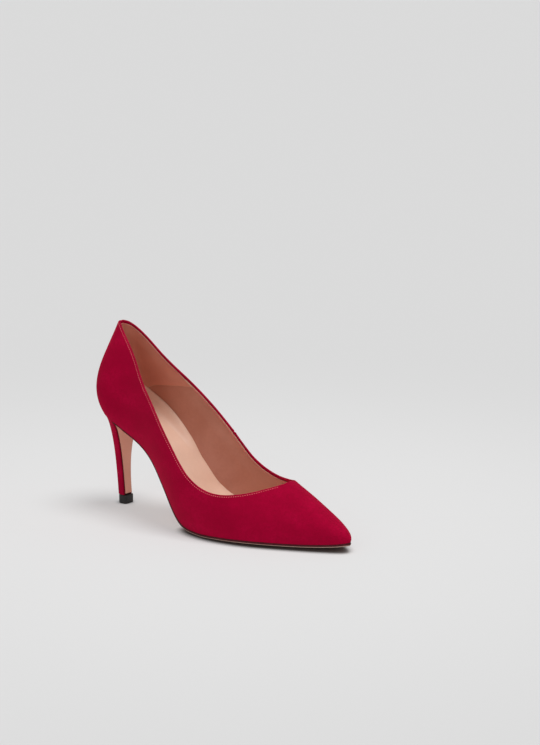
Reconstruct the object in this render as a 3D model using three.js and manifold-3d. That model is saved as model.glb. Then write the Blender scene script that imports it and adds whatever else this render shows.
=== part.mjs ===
// A woman's high heel pump for the right foot, size EU 37: a suede court shoe with a pointed toe and a
// covered stiletto heel, built as it comes apart on a bench.  Millimetres, toe towards +X, inside of the
// foot towards +Y.
import * as THREE from "three";
import { mergeVertices } from "three/addons/utils/BufferGeometryUtils.js";
import Module from "manifold-3d";

const wasm = await Module();
wasm.setup();

// ---- Driving dimensions -----------------------------------------------------------------------------
const GAP = 0.3; // glue line kept between touching pieces
const SUEDE = 1.1; // upper
const STIFFENER = 0.8; // counter and toe puff
const LINING = 0.7;
const BOARD = 2.2; // insole board
const FOAM = 2.0;
const SOCK = 0.8;
const SOLE_FORE = 2.0; // outsole at the ball
const SOLE_WAIST = 1.2; // outsole under the arch and down the breast
const COVER = 0.9; // suede skin of the heel
const TIP_HEIGHT = 6.8; // top piece
const TAPE = 0.5; // reinforcing tape along the top edge
const LASTING_MARGIN = 9; // upper folded under the board
const BOARD_INSET = 1.9; // board's edge in from the feather edge
const SOCK_INSET = 3.8; // and the edge of the foam and the sock
const SOLE_INSET = 0.4; // and the outsole's edge

// Where pieces begin and end, as stations of the last (see below).
const LINING_SEAM = 3.3; // quarter lining behind, vamp lining ahead
const PUFF_START = 9.2;
const TAPE_SHORT = 0.4; // tape stops this far short of the throat
const SHANK_SPAN = [2.9, 5.7];
const FILLER_SPAN = [6.2, 9.6];
const BOARD_END = 10.6;
const SOCK_END = 10.2;
const BREAST_STATION = 2.36; // breast corners of the heel, on the seat

// The last, in stations from the back seam (0) to the toe (11).  Each row gives four points of one rib:
// feather edge, belly, shoulder and ridge, with half widths to the outside and the inside of the foot.
const STATIONS = [
  // feather x, out, in | belly x, out, in, z | shoulder x, out, in, z | ridge x, z
  [-14.5, 0, 0, -28.5, 0, 0, 104, -6.5, 0, 0, 131, 3, 156],
  [-11, 12.5, 12.5, -24, 18.5, 18.5, 103, -1, 5.5, 5.5, 131, 1, 156],
  [0, 21, 20.5, -8, 33.7, 33.7, 98, 2.5, 11, 11, 131, 14, 154],
  [18, 22, 21.5, 19, 32.5, 32.5, 88, 29, 11.5, 11.5, 130, 35, 148],
  [42, 20, 18, 43, 36, 35, 74, 50, 26, 26, 124, 58, 134],
  [66, 25, 21.5, 67, 38, 37, 51, 73, 43, 43, 101, 81, 111],
  [91, 33.5, 31, 91, 42, 41.5, 29, 97, 45.5, 45.5, 77, 104, 86],
  [119, 36.5, 37, 119, 42.5, 43, 20, 123, 38.5, 39, 60, 127, 66],
  [148, 31.5, 34.5, 148, 37, 40, 18, 151, 21, 22, 47, 153, 49.5],
  [177, 19.5, 24.5, 178, 23.5, 28.5, 16, 177, 13.5, 16, 35, 178, 36.5],
  [201, 9, 14, 202.5, 11, 16.5, 14, 200, 8, 10.5, 22, 198, 24],
  [215, 0, 0, 216.5, 0, 0, 11.5, 213, 0, 0, 16, 208, 17],
];
const TOE = STATIONS.length - 1; // station number of the toe tip
const LOOP = 2 * TOE; // stations all the way round: out along the outside, back along the inside

// Side-view curves, as [x, z] points: the feather edge, and the line that the top edge is cut to.
const PROFILE = [
  [-14.5, 79], [0, 72.8], [18, 65], [34, 56], [48, 44.3], [60, 30.5], [74, 15], [88, 6], [104, 3.6],
  [125, 3.9], [150, 4.4], [180, 4.7], [205, 6.2], [216, 8],
];
const TOPLINE = [
  [-12, 144.6], [-4, 143.2], [2, 141.4], [15, 130.4], [35, 109], [55, 90.2], [75, 69.4], [95, 48], [105, 41],
  [115, 37], [125, 35.3], [135, 35.8], [145, 37.7], [155, 41], [163, 44.2], [175, 50],
];
const CENTRELINE = [[-30, 0], [120, 0], [160, 1], [190, 2], [216, 4.5]]; // [x, y]: the toe turns inwards
// How far the outsole's middle sags under its edges, as [x, sag].
const CAMBER = [[-15, 0.2], [60, 0.2], [100, 1.4], [130, 1.9], [160, 2.1], [190, 1.2], [216, 0.4]];

// ---- Curves -----------------------------------------------------------------------------------------
/** The height of a smooth curve through [x, value] points, carried on straight past its ends. */
function along(points, x) {
  const last = points.length - 1;
  const slope = (i) => {
    const [a, b] = [points[Math.max(i - 1, 0)], points[Math.min(i + 1, last)]];
    return (b[1] - a[1]) / (b[0] - a[0]);
  };
  if (x <= points[0][0]) return points[0][1] + slope(0) * (x - points[0][0]);
  if (x >= points[last][0]) return points[last][1] + slope(last) * (x - points[last][0]);
  const k = points.findIndex(([px]) => px > x) - 1;
  const [[x0, y0], [x1, y1]] = [points[k], points[k + 1]];
  const width = x1 - x0;
  const f = (x - x0) / width;
  const [m0, m1] = [slope(k) * width, slope(k + 1) * width];
  return y0 * (2 * f ** 3 - 3 * f ** 2 + 1) + m0 * (f ** 3 - 2 * f ** 2 + f)
    + y1 * (3 * f ** 2 - 2 * f ** 3) + m1 * (f ** 3 - f ** 2);
}

/** A closed rail through one point per station: side -1 is the outside of the foot, 1 the inside. */
function rail(pointOf) {
  const outside = STATIONS.map((row) => pointOf(row, -1));
  const inside = STATIONS.slice(1, TOE).reverse().map((row) => pointOf(row, 1));
  return new THREE.CatmullRomCurve3([...outside, ...inside], true, "catmullrom", 0.5);
}
const across = (x, side, out, inn) => along(CENTRELINE, x) + (side < 0 ? -out : inn);
const RAILS = [
  rail(([x, out, inn], side) => new THREE.Vector3(x, across(x, side, out, inn), 0)),
  rail(([, , , x, out, inn, z], side) => new THREE.Vector3(x, across(x, side, out, inn), z)),
  rail(([, , , , , , , x, out, inn, z], side) => new THREE.Vector3(x, across(x, side, out, inn), z)),
  rail(([, , , , , , , , , , , x, z]) => new THREE.Vector3(x, along(CENTRELINE, x), z)),
];

/** The rib at a station: a Bezier curve from the feather edge over to the ridge. */
function rib(station) {
  const turn = (((station % LOOP) + LOOP) % LOOP) / LOOP;
  const [feather, belly, shoulder, ridge] = RAILS.map((r) => r.getPoint(turn));
  feather.z = along(PROFILE, feather.x);
  return new THREE.CubicBezierCurve3(feather, belly, shoulder, ridge);
}

/** How far up its rib the top edge lies: 1 on the vamp, where the rib runs over to the ridge. */
function topOf(curve) {
  const above = (v) => {
    const p = curve.getPoint(v);
    return p.z - along(TOPLINE, p.x);
  };
  let v = 0;
  while (v < 1 && above(v) < 0) v += 0.02;
  if (v >= 1) return 1;
  let [low, high] = [v - 0.02, v];
  for (let i = 0; i < 30; i++) {
    const middle = (low + high) / 2;
    if (above(middle) < 0) low = middle;
    else high = middle;
  }
  return high;
}

/** The station whose rib just reaches the throat, where the top edge crosses the ridge. */
function throatStation() {
  let [low, high] = [TOE / 2, TOE];
  for (let i = 0; i < 40; i++) {
    const middle = (low + high) / 2;
    if (topOf(rib(middle)) < 1) low = middle;
    else high = middle;
  }
  return high;
}
const THROAT = throatStation();

/** Evenly spaced numbers from one to another. */
function spread(from, to, steps) {
  return Array.from({ length: steps + 1 }, (_, i) => from + ((to - from) * i) / steps);
}

// Stations of the outside half, closest together at the back seam, the throat and the toe tip.
const HALF_LOOP = [
  ...spread(0, Math.PI, 24).map((angle) => (THROAT * (1 - Math.cos(angle))) / 2),
  ...spread(0, Math.PI / 2, 8).slice(1).map((angle) => THROAT + (TOE - THROAT) * Math.sin(angle)),
];
const FULL_LOOP = [...HALF_LOOP, ...HALF_LOOP.slice(1, -1).reverse().map((s) => LOOP - s)];

/** Stations of the outside half from one to another. */
const between = (from, to) => [from, ...HALF_LOOP.filter((s) => s > from + 0.02 && s < to - 0.02), to];

/** Stations round the back, from the inside of the foot to the outside; the inside ones are negative. */
function roundBack(reach) {
  const outside = between(0, reach);
  return [...outside.slice(1).reverse().map((s) => -s), ...outside];
}

/** Stations round the toe, from the outside of the foot to the inside. */
function roundToe(from) {
  const outside = between(from, TOE);
  return [...outside, ...outside.slice(0, -1).reverse().map((s) => LOOP - s)];
}

// ---- Solids -----------------------------------------------------------------------------------------
/** A surface through a grid of points, given as columns; closed joins the last column to the first. */
function sheet(columns, closed = false) {
  const rows = columns[0].length;
  const positions = columns.flat().flatMap((p) => [p.x, p.y, p.z]);
  const index = [];
  for (let i = 0; i < columns.length - (closed ? 0 : 1); i++)
    for (let j = 0; j < rows - 1; j++) {
      const [a, b] = [i * rows + j, ((i + 1) % columns.length) * rows + j];
      index.push(a, b, b + 1, a, b + 1, a + 1);
    }
  const geometry = new THREE.BufferGeometry()
    .setAttribute("position", new THREE.Float32BufferAttribute(positions, 3));
  geometry.setIndex(index);
  const merged = mergeVertices(geometry, 1e-3);
  const kept = [];
  for (let i = 0; i < merged.index.count; i += 3) {
    const [a, b, c] = [0, 1, 2].map((k) => merged.index.getX(i + k));
    if (a !== b && b !== c && c !== a) kept.push(a, b, c);
  }
  merged.setIndex(kept);
  merged.computeVertexNormals();
  return merged;
}

/** A solid skin between two depths below a sheet, closed along the sheet's edges. */
function skin(surface, near, far, direction = (n) => n) {
  const { position, normal } = surface.attributes;
  const count = position.count;
  const depth = (d, p, n) => (typeof d === "function" ? d(p, n) : d);
  const points = [];
  for (const d of [near, far])
    for (let i = 0; i < count; i++) {
      const p = new THREE.Vector3().fromBufferAttribute(position, i);
      const n = direction(new THREE.Vector3().fromBufferAttribute(normal, i));
      points.push(...p.clone().addScaledVector(n, -depth(d, p, n)));
    }
  const face = Array.from(surface.index.array);
  const directed = new Set();
  for (let i = 0; i < face.length; i += 3)
    for (let k = 0; k < 3; k++) directed.add(`${face[i + k]},${face[i + ((k + 1) % 3)]}`);
  const index = [...face];
  for (let i = 0; i < face.length; i += 3)
    index.push(face[i] + count, face[i + 2] + count, face[i + 1] + count);
  for (const edge of directed) {
    const [a, b] = edge.split(",").map(Number);
    if (!directed.has(`${b},${a}`)) index.push(b, a, a + count, b, a + count, b + count);
  }
  const geometry = new THREE.BufferGeometry()
    .setAttribute("position", new THREE.Float32BufferAttribute(points, 3));
  geometry.setIndex(index);
  return geometry;
}

/** A closed solid through rings of points, capped by a fan at each end. */
function loft(rings) {
  const size = rings[0].length;
  const middle = (ring) => ring.reduce((sum, p) => sum.add(p), new THREE.Vector3()).divideScalar(size);
  const points = [...rings.flat(), middle(rings[0]), middle(rings.at(-1))];
  const [firstCap, lastCap] = [points.length - 2, points.length - 1];
  const top = (rings.length - 1) * size;
  const index = [];
  for (let i = 0; i < size; i++) {
    const next = (i + 1) % size;
    for (let k = 0; k < rings.length - 1; k++) {
      const [a, b, c, d] = [k * size + i, k * size + next, (k + 1) * size + next, (k + 1) * size + i];
      index.push(a, b, c, a, c, d);
    }
    index.push(firstCap, next, i, lastCap, top + i, top + next);
  }
  const geometry = new THREE.BufferGeometry()
    .setAttribute("position", new THREE.Float32BufferAttribute(points.flatMap((p) => [p.x, p.y, p.z]), 3));
  geometry.setIndex(index);
  return geometry;
}

/** A round rod from one point to another; a wider start makes a head or a taper. */
function rod(from, to, startRadius, endRadius = startRadius, sides = 16) {
  const length = from.distanceTo(to);
  const geometry = new THREE.CylinderGeometry(endRadius, startRadius, length, sides);
  const turn = new THREE.Quaternion()
    .setFromUnitVectors(new THREE.Vector3(0, 1, 0), to.clone().sub(from).divideScalar(length));
  return geometry.applyQuaternion(turn).translate(...from.clone().add(to).divideScalar(2));
}

/** A rod with a flat head at its start. */
function headed(from, to, headRadius, headHeight, radius) {
  const step = to.clone().sub(from).normalize().multiplyScalar(headHeight);
  const head = rod(from, from.clone().add(step), headRadius);
  const shaft = rod(from.clone().addScaledVector(step, 0.5), to, radius);
  return joined(head, shaft);
}

function manifold(geometry) {
  const bare = new THREE.BufferGeometry().setAttribute("position", geometry.getAttribute("position"));
  bare.setIndex(geometry.index);
  const merged = mergeVertices(bare, 1e-3);
  const kept = [];
  for (let i = 0; i < merged.index.count; i += 3) {
    const [a, b, c] = [0, 1, 2].map((k) => merged.index.getX(i + k));
    if (a !== b && b !== c && c !== a) kept.push(a, b, c);
  }
  return new wasm.Manifold(new wasm.Mesh({
    numProp: 3,
    vertProperties: merged.getAttribute("position").array,
    triVerts: new Uint32Array(kept),
  }));
}

function geometryOf(solid) {
  const { vertProperties, triVerts } = solid.getMesh();
  const geometry = new THREE.BufferGeometry()
    .setAttribute("position", new THREE.BufferAttribute(vertProperties, 3));
  geometry.setIndex(new THREE.BufferAttribute(triVerts, 1));
  return geometry;
}
const joined = (a, b) => geometryOf(manifold(a).add(manifold(b)));
const drilled = (body, holes) => geometryOf(holes.reduce((s, h) => s.subtract(manifold(h)), manifold(body)));

// ---- Materials --------------------------------------------------------------------------------------
function material(color, roughness, metalness = 0) {
  return new THREE.MeshStandardMaterial({ color, roughness, metalness });
}
const MATERIALS = {
  suede: material(0x9c0a2c, 0.95),
  lining: material(0xb87a62, 0.6),
  sock: material(0xdba98c, 0.55),
  sole: material(0xb98a6c, 0.45),
  black: material(0x1c1a1b, 0.5),
  board: material(0xb7a184, 0.9),
  stiffener: material(0xe4dccb, 0.85),
  foam: material(0xe8e2d2, 0.95),
  abs: material(0xd9cfbf, 0.4),
  steel: material(0xb9bcc0, 0.35, 1),
};
const shoe = new THREE.Group();
function add(name, geometry, finish) {
  const mesh = new THREE.Mesh(geometry, MATERIALS[finish]);
  mesh.name = name;
  shoe.add(mesh);
}

// ---- Upper, lining and stiffeners: skins of the last ------------------------------------------------
const BOARD_UNDER = SUEDE + GAP; // heights over the feather edge
const BOARD_TOP = BOARD_UNDER + BOARD;
const LINING_FOOT = BOARD_TOP + GAP + 0.4; // where the linings and stiffeners start
const LINING_HIGH = 0.985; // they stop just under the folded top edge, at this share of the way up to it

/** How far up its rib a height over the feather edge lies. */
function risen(curve, height) {
  let v = 0;
  const above = () => {
    const p = curve.getPoint(v);
    return p.z - along(PROFILE, p.x);
  };
  while (v < 1 && above() < height) v += 0.01;
  return v;
}

/** Columns of points up the last's side at some stations, between two shares of the way to the top edge. */
function wall(stations, low, high, steps) {
  return stations.map((station) => {
    const curve = rib(station);
    const top = topOf(curve);
    return spread(low * top, high * top, steps).map((v) => curve.getPoint(v));
  });
}

const INNER_ROWS = 6; // rows from just over the insole board to the lining's top edge

/** Columns of points up the inside of the wall: the whole height of the lining, or its lowest rows only. */
function innerWall(stations, rows = INNER_ROWS) {
  return stations.map((station) => {
    const curve = rib(station);
    const top = topOf(curve);
    const heights = spread(risen(curve, LINING_FOOT), top < 1 ? LINING_HIGH * top : 1, INNER_ROWS);
    return heights.slice(0, rows + 1).map((v) => curve.getPoint(v));
  });
}

const SPINE_BACK = 2; // the line that the lasting margin and the insets shrink towards
const SPINE_FRONT = 188;
/** A point of the feather edge moved inwards by a distance, or by a share where the shoe is narrow. */
function inward(station, distance, share = 0.9) {
  const edge = rib(station).getPoint(0);
  const x = THREE.MathUtils.clamp(edge.x, SPINE_BACK, SPINE_FRONT);
  const spine = new THREE.Vector3(x, along(CENTRELINE, x), 0);
  const flat = new THREE.Vector3(edge.x, edge.y, 0);
  const reach = flat.distanceTo(spine);
  const moved = flat.lerp(spine, Math.min(distance, share * reach) / reach);
  moved.z = along(PROFILE, moved.x);
  return moved;
}

function makeUpper() {
  const columns = wall(FULL_LOOP, 0, 1, 8).map((column, i) => {
    const under = spread(LASTING_MARGIN, 0, 2).slice(0, -1)
      .map((d) => inward(FULL_LOOP[i], d, 0.5 * (d / LASTING_MARGIN)));
    return [...under, ...column];
  });
  add("upper", skin(sheet(columns, true), 0, SUEDE), "suede");
}

function makeLinings() {
  const depth = SUEDE + GAP + STIFFENER + GAP;
  const seamGap = 0.03; // in stations, about 0.5 mm on each side of the seam
  const quarter = innerWall(roundBack(LINING_SEAM - seamGap));
  const vamp = innerWall(roundToe(LINING_SEAM + seamGap));
  add("quarter_lining", skin(sheet(quarter), depth, depth + LINING), "lining");
  add("vamp_lining", skin(sheet(vamp), depth, depth + LINING), "lining");
}

function makeStiffeners() {
  const depth = SUEDE + GAP;
  const counter = innerWall(roundBack(HALF_LOOP[10]), 4);
  const puff = innerWall(roundToe(PUFF_START));
  const tape = wall(roundBack(THROAT - TAPE_SHORT), 0.9, LINING_HIGH, 1);
  add("heel_counter", skin(sheet(counter), depth, depth + STIFFENER), "stiffener");
  add("toe_puff", skin(sheet(puff), depth, depth + STIFFENER), "stiffener");
  add("topline_tape", skin(sheet(tape), depth, depth + TAPE), "stiffener");
}

// ---- Bottom: sheets that follow the feather edge ----------------------------------------------------
/** A bottom sheet facing down, from one station to another, inset from the feather edge. */
function bottomSheet(from, to, inset, strips = 4) {
  const columns = between(from, to).map((station) => {
    const [out, inn] = [inward(station, inset), inward(LOOP - station, inset)];
    return spread(0, 1, strips).map((f) => {
      const p = inn.clone().lerp(out, f);
      return p.setZ(along(PROFILE, p.x));
    });
  });
  return sheet(columns);
}

/** A strip of the bottom of constant width, from one station to another, facing down. */
function strip(from, to, halfWidth) {
  return sheet(between(from, to).map((station) => {
    const { x } = rib(station).v0;
    const [middle, z] = [along(CENTRELINE, x), along(PROFILE, x)];
    return [1, -1].map((side) => new THREE.Vector3(x, middle + side * halfWidth, z));
  }));
}
const FOAM_TOP = BOARD_TOP + GAP + FOAM;
const SOCK_TOP = FOAM_TOP + GAP + SOCK;

/** A point above the bottom's centreline, out along the bottom's own normal. */
function overBottom(x, y, height) {
  const slope = along(PROFILE, x + 0.5) - along(PROFILE, x - 0.5);
  const normal = new THREE.Vector3(-slope, 0, 1).normalize();
  return new THREE.Vector3(x, along(CENTRELINE, x) + y, along(PROFILE, x)).addScaledVector(normal, height);
}

// Fasteners, as [x, y] on the bottom and the height over it that each runs between.
const SCREW = { head: 3.4, headHeight: 0.9, radius: 1.8, depth: 13 };
const NAIL = { head: 1.9, headHeight: 0.6, radius: 0.8, depth: 8 };
const RIVET = { head: 2.6, headHeight: 0.6, radius: 1.4, depth: -0.1 }; // ends inside the shank
const NAIL_PLACES = [[-4, 5.5], [-4, -5.5], [3, 8], [3, -8]];
const RIVET_PLACES = [9, 14].map((i) => rib(HALF_LOOP[i]).v0.x);
const FASTENERS = [
  { name: "heel_screw", x: -2, y: 0, ...SCREW },
  ...NAIL_PLACES.map(([x, y], i) => ({ name: `heel_nail_${i + 1}`, x, y, ...NAIL })),
  ...RIVET_PLACES.map((x, i) => ({ name: `shank_rivet_${i + 1}`, x, y: 0, ...RIVET })),
];
const HEEL_FASTENERS = FASTENERS.filter(({ name }) => name.startsWith("heel"));
const RIVETS = FASTENERS.filter(({ name }) => name.startsWith("shank"));

/** A hole round a fastener's shaft or head, between two heights over the bottom. */
function hole({ x, y }, radius, low, high) {
  return rod(overBottom(x, y, low), overBottom(x, y, high), radius + GAP);
}

function makeBottom() {
  const board = skin(bottomSheet(0, BOARD_END, BOARD_INSET), BOARD_UNDER, BOARD_TOP);
  const shank = skin(strip(...SHANK_SPAN, 6), 0.2, BOARD_UNDER - GAP);
  const foam = skin(bottomSheet(0, SOCK_END, SOCK_INSET), BOARD_TOP + GAP, FOAM_TOP);
  const sock = skin(bottomSheet(0, SOCK_END, SOCK_INSET), FOAM_TOP + GAP, SOCK_TOP);
  const filler = skin(bottomSheet(...FILLER_SPAN, 10.5), 0.1, BOARD_UNDER - GAP);
  const through = 2 * BOARD_TOP; // long enough to pass right through
  const recess = (f) => hole(f, f.head, 0, BOARD_TOP + 2 * GAP + f.headHeight);
  add("insole_board", drilled(board, FASTENERS.map((f) => hole(f, f.radius, -1, through))), "board");
  add("steel_shank", drilled(shank, RIVETS.map((f) => hole(f, f.radius, -through, through))), "steel");
  add("foam_underlay", drilled(foam, FASTENERS.map(recess)), "foam");
  add("sock_lining", sock, "sock");
  add("bottom_filler", filler, "foam");
  FASTENERS.forEach(({ name, x, y, head, headHeight, radius, depth }) => {
    const top = overBottom(x, y, BOARD_TOP + 1.5 * GAP + headHeight);
    add(name, headed(top, overBottom(x, y, -depth), head, headHeight, radius), "steel");
  });
}

// ---- Heel -------------------------------------------------------------------------------------------
const AROUND = 12; // steps round the heel from one breast corner to the other
const SEAT_DROP = 0.7; // the cover's top edge stops this far below the feather edge
const FLAP_SETBACK = 0.9; // the block's front stands this far back from the breast corners

/** The heel's outer rib at a share round it: inside corner (0), back (0.5), outside corner (1). */
function heelRib(share) {
  const angle = Math.PI * (0.5 - share);
  const station = 2 * BREAST_STATION * (share - 0.5);
  const seat = rib(station).getPoint(0);
  seat.z -= SEAT_DROP;
  const oval = (frontX, backX, halfWidth, z) => {
    const depth = Math.cos(angle) ** 0.8;
    return new THREE.Vector3(frontX + (backX - frontX) * depth, Math.sin(angle) * halfWidth, z);
  };
  return new THREE.CubicBezierCurve3(
    oval(1.6, -6.6, 4.6, TIP_HEIGHT + GAP), oval(-0.5, -8.5, 4.4, 32), oval(-1.5, -10.5, 6.5, 63), seat);
}
const HEEL_LEVELS = [0, 0.2, 0.4, 0.55, 0.68, 0.8, 0.9, 1];

/** The heel's outer surface, open at the breast, and its normals laid level. */
function heelSurface() {
  return sheet(spread(0, 1, AROUND).map((share) => HEEL_LEVELS.map((v) => heelRib(share).getPoint(v))));
}
const level = (normal) => normal.setZ(0).normalize();

/** Rings round the heel at each level, pulled in by a depth. */
function heelRings(inset) {
  return HEEL_LEVELS.map((v) => {
    const ring = spread(0, 1, AROUND).map((share) => heelRib(share).getPoint(v));
    return ring.map((p, i) => {
      const course = ring[Math.min(i + 1, AROUND)].clone().sub(ring[Math.max(i - 1, 0)]);
      const outwards = level(new THREE.Vector3(course.y, -course.x, 0));
      return p.clone().addScaledVector(outwards, -inset);
    });
  });
}

const DOWEL_FOOT = new THREE.Vector3(-2.4, 0, TIP_HEIGHT + GAP);
const DOWEL_TOP = new THREE.Vector3(-5.1, 0, 52);
const DOWEL_LENGTH = 44;
const DOWEL_RADIUS = 1.7;
const PIN_LENGTH = 14; // of the top piece's pin inside the dowel
const PIN_FOOT = 4.4; // and of its foot inside the top piece
const PIN_RADIUS = 0.95;
const dowelPoint = (distance) => DOWEL_FOOT.clone()
  .addScaledVector(DOWEL_TOP.clone().sub(DOWEL_FOOT).normalize(), distance);

function makeHeel() {
  const rings = heelRings(COVER + 2 * GAP);
  rings.at(-1).forEach((p) => p.setZ(along(PROFILE, p.x) - 2 * GAP));
  rings.forEach((ring) => {
    const front = ring[0].x - FLAP_SETBACK;
    ring.forEach((p) => p.setX(Math.min(p.x, front)));
  });
  const holes = [
    rod(dowelPoint(-2), dowelPoint(DOWEL_LENGTH + GAP), DOWEL_RADIUS + GAP),
    ...HEEL_FASTENERS.map((f) => hole(f, f.radius, -f.depth - GAP, 2)),
  ];
  add("heel_block", drilled(loft(rings), holes), "abs");
  add("heel_cover", skin(heelSurface(), 0, COVER, level), "suede");
  const bore = rod(dowelPoint(-1), dowelPoint(DOWEL_LENGTH + 1), PIN_RADIUS + GAP);
  add("heel_dowel", drilled(rod(dowelPoint(0.2), dowelPoint(DOWEL_LENGTH), DOWEL_RADIUS), [bore]), "steel");
}

function makeTopPiece() {
  const [front, back, halfWidth, corner] = [4, -5.9, 4.9, 1.2];
  const outline = new THREE.Shape();
  const round = (back + front) / 2 - 0.4; // where the sides turn into the round back
  outline.moveTo(front, -halfWidth + corner);
  outline.quadraticCurveTo(front, -halfWidth, front - corner, -halfWidth);
  outline.lineTo(round, -halfWidth);
  outline.absellipse(round, 0, round - back, halfWidth, 1.5 * Math.PI, 0.5 * Math.PI, true);
  outline.lineTo(front - corner, halfWidth);
  outline.quadraticCurveTo(front, halfWidth, front, halfWidth - corner);
  const extrusion = { depth: TIP_HEIGHT, bevelEnabled: false, curveSegments: 6 };
  const block = new THREE.ExtrudeGeometry(outline, extrusion);
  const socket = rod(dowelPoint(-PIN_FOOT - GAP), dowelPoint(4), PIN_RADIUS + GAP);
  add("top_piece", drilled(block, [socket]), "black");
  add("top_piece_pin", rod(dowelPoint(-PIN_FOOT), dowelPoint(PIN_LENGTH), PIN_RADIUS), "steel");
}

// ---- Outsole, with its flap down the heel's breast --------------------------------------------------
function makeOutsole() {
  const flapLevels = [0.02, 0.2, 0.4, 0.55, 0.68, 0.8, 0.9];
  const flap = flapLevels.map((v) => {
    const [inn, out] = [heelRib(0).getPoint(v), heelRib(1).getPoint(v)];
    return [inn, out].map((p) => p.clone().add(new THREE.Vector3(GAP, 0, 0)));
  });
  const fore = between(BREAST_STATION + 0.12, TOE).map((station) => {
    return [inward(LOOP - station, SOLE_INSET), inward(station, SOLE_INSET)];
  });
  const columns = [...flap, ...fore].map(([inn, out], i) => spread(0, 1, 6).map((f) => {
    const p = inn.clone().lerp(out, f);
    return i < flap.length ? p : p.setZ(along(PROFILE, p.x));
  }));
  const [waist, ball] = [60, 100]; // the sole thickens between these places
  const thickness = (x) => THREE.MathUtils.lerp(SOLE_WAIST, SOLE_FORE,
    THREE.MathUtils.clamp((x - waist) / (ball - waist), 0, 1));
  const under = (p, n) => {
    const edge = THREE.MathUtils.clamp(Math.abs(p.y - along(CENTRELINE, p.x)) / halfWidthAt(p.x), 0, 1);
    const depth = GAP + thickness(p.x) + along(CAMBER, p.x) * (1 - edge ** 2);
    return -(p.x > waist ? Math.min(depth, p.z / -n.z) : depth); // no lower than the ground
  };
  add("outsole", skin(sheet(columns), under, -GAP), "sole");
}

/** The half width of the feather edge at a place along the shoe. */
function halfWidthAt(x) {
  const k = THREE.MathUtils.clamp(STATIONS.findIndex((row) => row[0] > x), 1, TOE);
  const [[backX, backOut, backIn], [frontX, frontOut, frontIn]] = [STATIONS[k - 1], STATIONS[k]];
  const share = THREE.MathUtils.clamp((x - backX) / (frontX - backX), 0, 1);
  return Math.max(THREE.MathUtils.lerp((backOut + backIn) / 2, (frontOut + frontIn) / 2, share), 1);
}

makeUpper();
makeLinings();
makeStiffeners();
makeBottom();
makeHeel();
makeTopPiece();
makeOutsole();

// The frame: origin on the ground under the middle of the shoe.
const box = new THREE.Box3().setFromObject(shoe);
const centre = box.getCenter(new THREE.Vector3());
shoe.position.set(-centre.x, -centre.y, -box.min.z);

export default shoe;
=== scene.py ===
import math

import bpy
import numpy as np
from mathutils import Matrix, Vector


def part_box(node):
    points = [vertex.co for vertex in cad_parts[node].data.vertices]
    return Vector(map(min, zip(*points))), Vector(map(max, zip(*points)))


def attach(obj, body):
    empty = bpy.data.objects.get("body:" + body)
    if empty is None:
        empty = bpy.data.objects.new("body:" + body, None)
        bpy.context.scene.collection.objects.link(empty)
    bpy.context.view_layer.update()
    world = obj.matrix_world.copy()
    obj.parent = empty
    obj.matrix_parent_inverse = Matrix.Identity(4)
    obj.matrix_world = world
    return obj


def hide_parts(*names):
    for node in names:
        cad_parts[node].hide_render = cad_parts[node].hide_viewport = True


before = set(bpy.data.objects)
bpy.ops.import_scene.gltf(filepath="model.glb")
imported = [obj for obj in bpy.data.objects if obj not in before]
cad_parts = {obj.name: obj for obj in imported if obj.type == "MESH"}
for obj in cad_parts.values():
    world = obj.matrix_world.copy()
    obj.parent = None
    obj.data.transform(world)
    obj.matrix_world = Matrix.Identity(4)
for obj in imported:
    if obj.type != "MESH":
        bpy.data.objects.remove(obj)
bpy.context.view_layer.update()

# A last is the form that a shoe is made over. The shoe is drawn in its last's own millimetres: x = 0 under
# the heel tip, toe towards +x, the inside of the foot towards +y and z = 0 on the ground. The heel tip's
# front face is this far in front of x = 0.
TIP_FRONT = 4.0
TIP_LOW, TIP_HIGH = (np.array(corner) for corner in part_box("top_piece"))
ORIGIN = np.array([TIP_HIGH[0] - TIP_FRONT / 1000, (TIP_LOW[1] + TIP_HIGH[1]) / 2, 0.0])

# ---- Driving dimensions, in millimetres ----------------------------------------------------------
SUEDE = 1.3                # thickness of the upper at its folded edge
LINING = 0.6
GLUE_GAP = 0.06            # between glued layers, so that no two share a surface
STIFFENER_GAP = 0.02
STIFFENER_SPACE = 1.1      # room for stiffeners between upper and lining, away from the top edge
SOCK = 0.8
SOCK_HEIGHT = 7.0          # top of the sock over the feather edge, square to the sole
BOARD_HEIGHT = 3.95        # top of the insole board over it
SOLE_FORE = 2.0            # edge of the outsole at the ball
SOLE_WAIST = 1.2           # and under the arch
FLAP = 0.8                 # outsole's flap down the breast of the heel
FLAP_INSET = (0.6, 1.6)    # the flap's edges in from the breast corners, on the inside and the outside
COVER = 0.9                # suede on the heel
COVER_LIP = 0.3            # how far the cover turns in over the breast, as a share of the way round the heel
TIP_HEIGHT = 6.8
STITCH_PITCH = 1.7
STITCH_LENGTH = 1.1
STITCH_RADIUS = 0.27
STITCH_LIFT = 0.1          # the middle of a stitch over its holes
STITCH_INSET = 0.9         # the outer stitch row under the top edge
INNER_STITCH_INSET = 1.9   # and the row on the lining

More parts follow.
